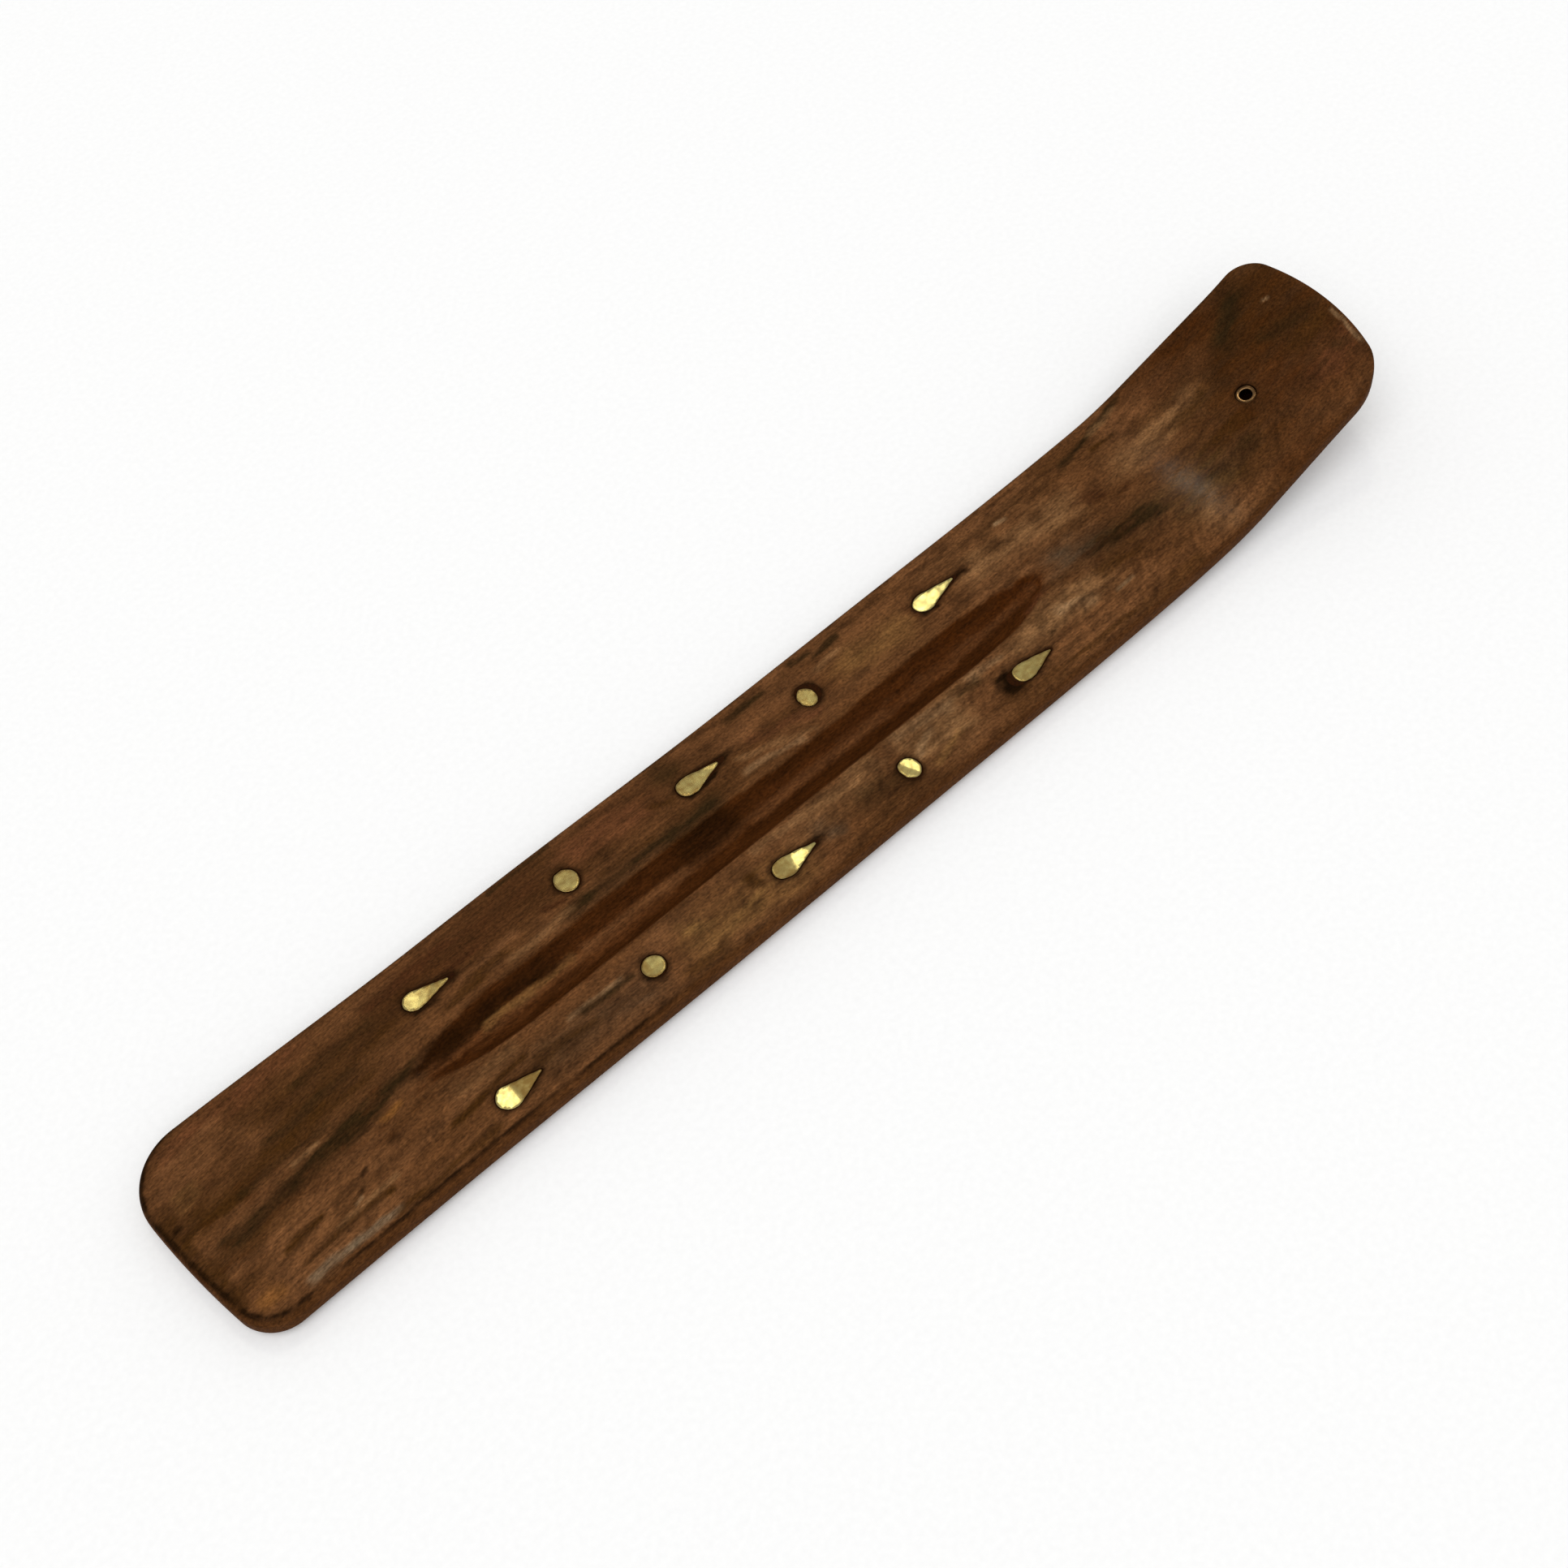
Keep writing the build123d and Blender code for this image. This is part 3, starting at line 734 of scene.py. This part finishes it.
def finish_piece(piece, material, nodes, crease):
    """Shade a piece, give it its material and let it ride in place of its CAD nodes."""
    mesh = piece.data
    mesh.shade_smooth()
    mesh.set_sharp_from_angle(angle=radians(crease))
    mesh.materials.append(material)
    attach(piece, "root")
    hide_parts(*nodes)


def node_outline(node, seed, wobble, belly):
    """A CAD plate's outline from above, evenly spaced from its lowest x and cut as if by hand."""
    points = np.array([vertex.co[:2] for vertex in frame["nodes"][node].data.vertices]) / MM
    share_along = (points[:, 0] - points[:, 0].min()) / np.ptp(points[:, 0])
    points[:, 0] += belly * np.sin(pi * share_along) ** 2
    hull = points[convex_hull_2d(points.tolist())]
    even = evenly(np.concatenate([hull, hull[:1]]), outline_points, True)
    even = np.roll(even, -int(np.argmin(even[:, 0])), axis=0)
    forward = np.roll(even, -1, axis=0) - np.roll(even, 1, axis=0)
    outward = np.column_stack([forward[:, 1], -forward[:, 0]]) / np.linalg.norm(forward, axis=1)[:, None]
    turned = np.linspace(0, 2 * pi, outline_points, endpoint=False)
    circle = np.column_stack([ways(turned), np.full(outline_points, wobble_spread * seed)])
    stray = wobble * layered(circle, wobble_blobs, seed, wobble_layers)
    return even + outward * stray[:, None], outward


def seen_from(centre, points):
    """The directions and the distances of points from a centre."""
    away = points - centre
    return np.arctan2(away[:, 1], away[:, 0]), np.hypot(*away.T)


def pocket_outline(plate, around):
    """The pocket's outline, with one point straight outwards from each point of the plate."""
    centre = plate.mean(axis=0)
    angles, reach = seen_from(centre, plate)
    filled = np.interp(angles, *seen_from(centre, around), period=2 * pi) - reach
    return centre + (reach + np.maximum(filler_share * filled, least_filler))[:, None] * ways(angles)


def pocket_cutter(outline):
    """Points and faces of the straight prism that cuts a pocket."""
    height = carved_height(*outline.T)
    return stacked([(outline, height + pocket_depth), (outline, height - pocket_depth)])


def cut_plate(mesh, cuts):
    """Cut a plate's faces along upright planes, so that it can bend there."""
    shape = bmesh.new()
    shape.from_mesh(mesh)
    for place, direction, _ in cuts:
        everything = shape.verts[:] + shape.edges[:] + shape.faces[:]
        bmesh.ops.bisect_plane(
            shape, geom=everything, plane_co=(*(place * MM), 0), plane_no=(*direction, 0), dist=1e-7
        )
    shape.to_mesh(mesh)
    shape.free()


def brass_plate(name, outline, outward, tarnish, lean, folds):
    """A filed brass plate: its top leans and is folded into flat facets, its edge is rounded."""
    profile = [(1, 0), (0.35, 0.2 * brass_bevel), (0, brass_bevel), (0, brass_thickness)]
    rings = [(outline - outward * share * brass_bevel, -drop) for share, drop in profile]
    piece = new_piece(name, *stacked(rings))
    mesh = piece.data

    low, high = outline.min(axis=0), outline.max(axis=0)
    cuts = []
    for share_along, degrees, slope in folds:
        place = low + (high - low) * (share_along, 0.5)
        cuts.append((place, ways(radians(degrees)), slope))
    for axis, direction in enumerate(np.eye(2)):
        for station in np.arange(low[axis] + plate_cell, high[axis], plate_cell):
            cuts.append((direction * station, direction, 0))
    cut_plate(mesh, cuts)

    points = read(mesh.vertices, "co") / MM
    bend = -points[:, :2] @ np.array(lean) + brass_dents * named_noise("dents", points)
    for place, direction, slope in cuts:
        bend -= slope * np.clip((points[:, :2] - place) @ direction, 0, None)
    depth = points[:, 2].copy()
    points[:, 2] += carved_height(*points[:, :2].T)
    points[:, 2] += (1 + depth / brass_thickness) * (brass_proud + bend - bend.mean())
    mesh.vertices.foreach_set("co", (points * MM).ravel())
    edge = np.where(depth < -brass_bevel, 1, hill(distance_to(outline, points), edge_tarnish_reach))
    tail_share = smooth_step((points[:, 0] - low[0]) / (high[0] - low[0]), 0.3, 0.5)
    tarnished = tarnish[0] + (tarnish[1] - tarnish[0]) * tail_share
    set_attributes(mesh, grain=points, edge=edge, tarnish=tarnished)
    return piece


def filler_ring(name, plate, pocket):
    """The dark filler round a plate: a sunken rim, with a bed under the brass."""
    profile = [(0, brass_thickness)]
    for share in np.linspace(0, 1, filler_steps + 1):
        profile.append((share, filler_edge + filler_sink * 4 * share * (1 - share)))
    profile.append((1, pocket_depth))
    rings = []
    for share, drop in profile:
        plan = plate + (pocket - plate) * share
        rings.append((plan, carved_height(*plan.T) - drop))
    points, faces = stacked(rings)
    piece = new_piece(name, points, faces)
    set_attributes(piece.data, grain=points)
    return piece


# The stick hole

bore = next(mount for mount in frame["record"]["mounts"] if mount["kind"] == "bore")
bore_middle = np.array(bore["pos_m"]) / MM
bore_axis = np.array(bore["axis"])
bore_radius = bore["dims"]["r_mm"]
bore_half = bore["dims"]["length_mm"] / 2
bore_across = np.array([0, 1, 0])
bore_along = np.cross(bore_across, bore_axis)


def bore_places(points):
    """Height of points above the bore's middle, and their distance from its axis."""
    away = points - bore_middle
    height = away @ bore_axis
    return height, np.linalg.norm(away - np.outer(height, bore_axis), axis=1)


def turned_points(profile, wobble):
    """Rings of points round the stick hole: the profile gives radius and height above the bore's middle."""
    angles = np.linspace(0, 2 * pi, turned_steps, endpoint=False)
    flat = np.outer(np.cos(angles), bore_along) + np.outer(np.sin(angles), bore_across)
    uneven = wobble * (np.sin(2 * angles + 0.6) + 0.6 * np.sin(3 * angles))
    points = []
    for radius, height in profile:
        points.append(bore_middle + radius * flat + np.outer(height + uneven * (height > 0), bore_axis))
    return np.concatenate(points)


def eyelet_piece():
    """The brass tube that lines the stick hole, with a rolled lip."""
    profile = [(bore_radius, -bore_half)]
    for side, radius, angles in ((1, bore_radius, (pi / 2, 0)), (-1, eyelet_outer, (0, pi / 2))):
        for angle in np.linspace(*angles, lip_steps + 1):
            drop = eyelet_lip * (1 - cos(angle))
            profile.append((radius + side * eyelet_lip * (1 - sin(angle)), bore_half - drop))
    profile.append((eyelet_outer, -bore_half))
    faces = stacked_faces(len(profile), turned_steps, tube=True)
    piece = new_piece("brass_eyelet", turned_points(profile, lip_wobble), faces)
    points = read(piece.data.vertices, "co") / MM
    height, from_axis = bore_places(points)
    # Painted shade: the tube's inside turns duller the deeper it goes
    dark = smooth_step(bore_half - height, 0.05, 0.6)
    outside = smooth_step(eyelet_outer - from_axis, 0.6, 0.1)
    set_attributes(piece.data, grain=points, edge=dark, tarnish=most_tarnish * outside)
    return piece


def eyelet_seat():
    """Points and faces of the cutter for the eyelet's hole in the wood."""
    radius = eyelet_outer + eyelet_clearance
    profile = [(radius, 3 * bore_half), (radius, -bore_half)]
    return turned_points(profile, 0), stacked_faces(2, turned_steps)


# Wood figure


def mixed(colours, tint, weight):
    return colours + (linear(WOOD[tint]) - colours) * np.clip(weight, 0, 1)[:, None]


def grain_space(points):
    """Places in the wood with the grain laid straight: it slants to the left near the flat end."""
    x = points[:, 0]
    slant = grain_slope * smooth_step(x, *slant_zone) * (x - slant_middle)
    return np.column_stack([x, points[:, 1] - slant, points[:, 2]])


def draw_strokes(colours, points, strokes, patchy):
    """Lay the listed strokes with ragged edges over the colours."""
    grain = grain_space(points)
    warp_x, warp_y = 0.7 * named_noise("warp_x", grain), 0.7 * named_noise("warp_y", grain)
    for x0, y0, x1, y1, width, tint, strength in strokes:
        length = np.hypot(x1 - x0, y1 - y0)
        along_x, along_y = (x1 - x0) / length, (y1 - y0) / length
        ragged = min(width, broad_stroke)
        from_x, from_y = points[:, 0] - x0 + warp_x * ragged, points[:, 1] - y0 + warp_y * ragged
        along = from_x * along_x + from_y * along_y
        across = from_y * along_x - from_x * along_y
        fade = min(length, 5 * width) / 4
        ends = smooth_step(along, -fade, fade) * smooth_step(length - along, -fade, fade)
        crispness = 2.2 if width > broad_stroke else 3.5
        body = np.exp(-((np.abs(across) / width) ** crispness))
        colours = mixed(colours, tint, strength * ends * body * patchy)
    return colours


def paint_figure(points, figure):
    """Colours of the wood at points: x from the flat end, y from the middle."""
    grain = grain_space(points)
    names = ("broad", "streak", "fine", "blotch")
    broad, streak, fine, blotch = [named_noise(name, grain) for name in names]
    mottle = named_noise("mottle", points @ mottle_turn) * smooth_step(points[:, 1], *mottle_zone)
    colours = np.tile(linear(WOOD["base"]), (len(points), 1))
    colours = mixed(colours, "umber", 0.4 * broad)
    colours = mixed(colours, "sienna", -0.45 * broad)
    colours = draw_strokes(colours, points, figure, np.clip(1.15 + 0.45 * streak + 0.4 * blotch, 0, 1.6))
    shade = 1 + 0.2 * streak + 0.15 * fine + 0.23 * blotch + 0.21 * mottle
    return colours * np.clip(shade, 0.45, 1.7)[:, None]


def paint_groove(colours, points, faces_up, uneven):
    """Darken the ash groove: soot and painted shade on the left wall, a lighter floor and a stained right
    wall.
    """
    streak = named_noise("groove_streak", points)
    from_middle = points[:, 1] - pattern_offset
    inside = (np.abs(from_middle) < 0.56 * groove_width) * faces_up
    sunk = smooth_step(top_height(points[:, 0]) - points[:, 2] + 0.12 * uneven, 0, 0.32) * inside
    across = from_middle / (groove_width / 2) + 0.1 * uneven
    # Soot and painted shade on both sides of the groove: the left one's dark stands in for a side turned
    # from the light
    wall_soot_and_shade = np.maximum(smooth_step(across, 0.2, 0.45), smooth_step(across, 0, -0.25))
    carved = mixed(colours, "floor", np.full(len(points), 0.65))
    carved = mixed(carved, "groove", 0.85 * wall_soot_and_shade)
    patchy = np.clip(1 + 0.4 * uneven + 0.3 * streak, 0, 1.6)
    carved = draw_strokes(carved, points + (half_length, 0, 0), GROOVE_FIGURE, patchy)
    carved *= np.clip(1 + 0.2 * uneven + 0.2 * streak, 0.5, 1.6)[:, None]
    return colours + (carved - colours) * sunk[:, None], sunk


def paint_edges(colours, points, normals, sides, uneven):
    """Painted shade on the rims, sides and underside, and in the crease where the rim starts, with dark
    finish.
    """
    x, y, up = points[:, 0], points[:, 1], normals[:, 2]
    rim = rim_at(x, y) * (1 - sin(rim_crease))
    from_edge = distance_to(loop_of(sides)[:, :2], points)
    on_rim = smooth_step(from_edge, rim + 0.1, rim - 0.3)
    # Painted shade on the rim, the sides and the underside, fading at the tail's end where the rim is lit
    # and rubbed pale
    side_shade_share = np.where(up > up_limit, on_rim, smooth_step(up, -0.9, -0.5))
    tail_lit_and_worn = smooth_step(x, *tail_end_zone)
    colours = mixed(colours, "side", side_shade_share * (0.75 - 0.45 * tail_lit_and_worn) * (1 + 0.2 * uneven))
    end_share = smooth_step(x, *flat_end_zone)
    near_share = smooth_step(x, *near_zone_x) * smooth_step(y, *near_zone_y)
    # Painted shade in the crease where the rim starts, with some dark finish: darkest by the flat end and
    # near right side
    crease = hill(from_edge - rim, crease_reach + crease_extra * end_share) * (up > up_limit)
    crease *= 0.15 + 0.75 * np.maximum(near_share, 1.2 * end_share)
    crease *= (1 - tail_lit_and_worn) * (1 + 0.6 * uneven)
    return mixed(colours, "stain", np.minimum(crease, 0.9))


def paint_stains(colours, points, normals, pockets, uneven):
    """Stain the wood round the inlays and the eyelet."""
    shown = normals[:, 2] > -up_limit
    stain = hill(distance_to(np.concatenate(pockets), points), stain_reach + stain_spread * uneven)
    colours = mixed(colours, "stain", 0.72 * stain * shown)
    _, from_axis = bore_places(points)
    ring = hill(from_axis - eyelet_outer, stain_reach) + (from_axis < eyelet_outer)
    return mixed(colours, "stain", np.minimum(0.5 * ring, 0.95) * shown)


def paint_tray(mesh, sides, pockets):
    """Give the tray's points their colour, the grain's run and how polished they are."""
    points, normals = read(mesh.vertices, "co") / MM, read(mesh.vertex_normals, "vector")
    from_end = points + (half_length, 0, 0)
    below = from_end * (1, -1, 1) + base_figure_shift
    upper_share = smooth_step(normals[:, 2], -0.5, up_limit)[:, None]
    colours = paint_figure(from_end, TOP_FIGURE + TOP_MARKS) * upper_share
    colours += paint_figure(below, TOP_FIGURE) * (1 - upper_share)
    uneven = named_noise("uneven", points)
    colours, sunk = paint_groove(colours, points, normals[:, 2] > up_limit, uneven)
    colours = paint_edges(colours, points, normals, sides, uneven)
    colours = paint_stains(colours, points, normals, pockets, uneven)
    rubbed = hill(np.linalg.norm(points[:, :2] - rubbed_place, axis=1), rubbed_size)
    polish = np.clip(0.05 + rubbed * (1 + 0.6 * uneven) - 0.04 * sunk, 0, 1)
    figure = np.column_stack([colours, np.ones(len(points))])
    set_attributes(mesh, figure=figure, grain=grain_space(from_end), polish=polish)


def cut_pockets(tray, cutters):
    """Cut the pockets and the eyelet's seat out of the tray."""
    points, faces, first = [], [], 0
    for cutter_points, cutter_faces in cutters:
        points.append(cutter_points)
        faces += [[first + number for number in face] for face in cutter_faces]
        first += len(cutter_points)
    cutter = new_piece("pocket_cutter", np.concatenate(points), faces)
    cut = tray.modifiers.new("pockets", "BOOLEAN")
    cut.operation = "DIFFERENCE"
    cut.solver = "MANIFOLD"
    cut.object = cutter
    graph = bpy.context.evaluated_depsgraph_get()
    whole, mesh = tray.data, bpy.data.meshes.new_from_object(tray.evaluated_get(graph))
    mesh.materials.clear()
    tray.data = mesh
    tray.modifiers.clear()
    bpy.data.meshes.remove(whole)
    mesh.name = tray.name
    bpy.data.objects.remove(cutter)


# Materials


class Nodes:
    """A material's nodes, made and joined in short lines."""

    def __init__(self, name):
        self.material = bpy.data.materials.new(name)
        self.material.use_nodes = True
        self.tree = self.material.node_tree

    def give(self, node, inputs):
        """Set a node's inputs to numbers or sRGB colours, or join them to other nodes."""
        for name, value in inputs.items():
            socket = node.inputs[name]
            if isinstance(value, (int, float, Vector)):
                socket.default_value = value
            elif isinstance(value, tuple):
                socket.default_value = (*linear(value), 1)
            else:
                self.tree.links.new(value, socket)

    def add(self, kind, inputs, output=0, **settings):
        """An output of a new node whose inputs are given by name or number."""
        node = self.tree.nodes.new("ShaderNode" + kind)
        for name, value in settings.items():
            setattr(node, name, value)
        self.give(node, inputs)
        return node.outputs[output]

    def attribute(self, name, output):
        return self.add("Attribute", {}, output, attribute_name=name)

    def stretched_noise(self, place, stretch, detail):
        """Noise with so many cells to the unit along x, y and z."""
        place = self.add("VectorMath", {0: place, 1: Vector(stretch)}, operation="MULTIPLY")
        return self.add("TexNoise", {"Vector": place, "Scale": 1, "Detail": detail})

    def ranged(self, value, low, high, to_low, to_high):
        """A value from low to high brought to the range from to_low to to_high."""
        return self.add("MapRange", dict(enumerate((value, low, high, to_low, to_high))))

    def math(self, operation, first, second):
        return self.add("Math", {0: first, 1: second}, operation=operation)

    def mix(self, share, first, second, blend="MIX"):
        return self.add("Mix", {0: share, 6: first, 7: second}, 2, data_type="RGBA", blend_type=blend)

    def lit(self, colour, light):
        """A colour times a number."""
        grey = self.add("CombineColor", {0: light, 1: light, 2: light})
        return self.mix(1, colour, grey, "MULTIPLY")

    def bump(self, height, strength, distance):
        return self.add("Bump", {"Height": height, "Strength": strength, "Distance": distance * MM})

    def finished(self, looks):
        """The material, with its shader's inputs given by name."""
        self.give(self.tree.nodes["Principled BSDF"], looks)
        return self.material


def wood_material():
    """Oiled hardwood: figure from the points, fibres and pores from noise."""
    nodes = Nodes("sheesham_wood_looks")
    grain = nodes.attribute("grain", "Vector")
    fibres = nodes.stretched_noise(grain, (0.22, 5, 5), 4)
    threads = nodes.stretched_noise(grain, (0.5, 13, 13), 2)
    flecks = nodes.stretched_noise(grain, (1.6, 2.6, 2.6), 4)
    pores = nodes.ranged(nodes.stretched_noise(grain, (0.7, 7, 7), 1), 0.62, 0.7, 0, 1)
    light = nodes.ranged(fibres, 0.25, 0.75, 0.84, 1.16)
    light = nodes.math("MULTIPLY", light, nodes.ranged(threads, 0.3, 0.7, 0.8, 1.2))
    light = nodes.math("MULTIPLY", light, nodes.ranged(flecks, 0.3, 0.7, 0.64, 1.36))
    light = nodes.math("MULTIPLY", light, nodes.ranged(pores, 0, 1, 1, 0.6))
    height = nodes.math("SUBTRACT", fibres, nodes.math("MULTIPLY", pores, 0.8))
    return nodes.finished({
        "Base Color": nodes.lit(nodes.attribute("figure", "Color"), light),
        "Roughness": nodes.ranged(fibres, 0.2, 0.8, 0.5, 0.65),
        "Specular IOR Level": 0.01,
        "Coat Weight": nodes.ranged(nodes.attribute("polish", "Fac"), 0, 1, 0, 0.12),
        "Coat Roughness": nodes.ranged(fibres, 0.2, 0.8, 0.12, 0.24),
        "Normal": nodes.bump(height, 0.35, 0.05),
    })


def brass_material(name, bright, dull):
    """Filed and handled brass: scratches one way, tarnish in clouds and along the edges.
    Its dullness is partly painted reflection, and the eyelet's tube has painted shade deep inside.
    """
    nodes = Nodes(name)
    grain = nodes.attribute("grain", "Vector")
    scratches = nodes.stretched_noise(grain, (1.2, 14, 8), 3)
    clouds = nodes.ranged(nodes.stretched_noise(grain, (0.9, 1.1, 1), 4), 0.3, 0.7, -0.25, 0.25)
    tarnish = nodes.math("ADD", nodes.attribute("tarnish", "Fac"), clouds)
    # edge adds tarnish at the plates' edges, and painted shade deep in the eyelet's tube
    tarnish = nodes.math("ADD", tarnish, nodes.math("MULTIPLY", nodes.attribute("edge", "Fac"), 0.2))
    tarnish = nodes.ranged(tarnish, 0, most_tarnish, 0, 1)
    colour = nodes.mix(tarnish, bright, dull)
    light = nodes.ranged(scratches, 0.3, 0.7, 0.95, 1.04)
    return nodes.finished({
        "Base Color": nodes.lit(colour, light),
        "Metallic": 1,
        "Roughness": nodes.ranged(tarnish, 0, 1, 0.2, 0.3),
        "Normal": nodes.bump(scratches, 0.03, 0.01),
    })


def filler_material():
    """Dark lac, a little lumpy and dusty."""
    nodes = Nodes("dark_filler_looks")
    grain = nodes.attribute("grain", "Vector")
    lumps = nodes.stretched_noise(grain, (3, 3, 3), 4)
    dust = nodes.ranged(nodes.stretched_noise(grain, (7, 7, 7), 2), 0.6, 0.75, 0, 0.5)
    colour = nodes.mix(nodes.ranged(lumps, 0.3, 0.7, 0, 1), LAC_DARK, LAC_LIGHT)
    return nodes.finished({
        "Base Color": nodes.mix(dust, colour, LAC_DUST),
        "Roughness": nodes.ranged(lumps, 0.2, 0.8, 0.5, 0.75),
        "Specular IOR Level": 0.03,
        "Normal": nodes.bump(lumps, 0.4, 0.08),
    })


def floor_material():
    """A plain white paper floor with the faintest tooth."""
    nodes = Nodes("floor_paper")
    place = nodes.add("TexCoord", {}, "Object")
    tooth = nodes.stretched_noise(place, (900, 900, 900), 2)
    return nodes.finished({
        "Base Color": nodes.lit((255, 255, 255), nodes.ranged(tooth, 0.2, 0.8, 0.92, 0.96)),
        "Roughness": 0.9,
        "Specular IOR Level": 0.1,
    })


# The pieces

sides = board_outline()
tray = new_piece("carved_tray", *tray_mesh(sides))
brass = brass_material("inlay_brass_looks", *INLAY_BRASS)
lac = filler_material()
cutters, pockets = [eyelet_seat()], []
for number, (name, (belly, tarnish, lean, folds)) in enumerate(BRASS_WORK.items()):
    shape, place = name.split("_", 1)
    inlay, filler = f"{shape}_inlay_{place}", f"{shape}_filler_{place}"
    plate, outward = node_outline(inlay, number + plate_seed, plate_wobble, belly)
    around, _ = node_outline(filler, number + pocket_seed, pocket_wobble, belly)
    pocket = pocket_outline(plate, around)
    cutters.append(pocket_cutter(pocket))
    pockets.append(pocket)
    inlay_piece = brass_plate(f"{shape}_brass_{place}", plate, outward, tarnish, lean, folds)
    finish_piece(inlay_piece, brass, [inlay], brass_crease)
    filler_piece = filler_ring(f"{shape}_lac_{place}", plate, pocket)
    finish_piece(filler_piece, lac, [filler], soft_crease)

cut_pockets(tray, cutters)
paint_tray(tray.data, sides, pockets)
finish_piece(tray, wood_material(), ["wooden_tray"], soft_crease)

eyelet_brass = brass_material("eyelet_brass_looks", *EYELET_BRASS)
finish_piece(eyelet_piece(), eyelet_brass, ["stick_eyelet"], soft_crease)

# Floor, light and camera

floor_corners = [(-1, -1), (1, -1), (1, 1), (-1, 1)]
floor_points = [(floor_half * x, floor_half * y, -floor_drop) for x, y in floor_corners]
floor = new_piece("floor", floor_points, [(0, 1, 2, 3)])
floor.data.materials.append(floor_material())

for name, (towards, strength, angle, colour) in LAMPS.items():
    lamp = bpy.data.lights.new(name, "SUN")
    lamp.energy = strength
    lamp.color = colour
    lamp.angle = radians(angle)
    holder = new_object(name, lamp)
    holder.rotation_euler = Vector(towards).to_track_quat("Z", "Y").to_euler()

world = bpy.data.worlds.new("studio")
world.use_nodes = True
sky = world.node_tree.nodes["Background"].inputs
sky["Color"].default_value = sky_colour
sky["Strength"].default_value = sky_strength
bpy.context.scene.world = world

lens = bpy.data.cameras.new("camera")
lens.sensor_width = sensor_width
lens.lens = sensor_width * focal_pixels / picture_pixels
lens.clip_start = nearest_seen * MM
camera = new_object("camera", lens)
right = Vector(camera_right).normalized()
back = right.cross(Vector(camera_up)).normalized()
turn = Matrix((right, back.cross(right), back)).transposed().to_4x4()
camera.matrix_world = Matrix.Translation(Vector(camera_place) * MM) @ turn
bpy.context.scene.camera = camera
bpy.context.scene.view_settings.view_transform = "Standard"

bpy.context.view_layer.update()
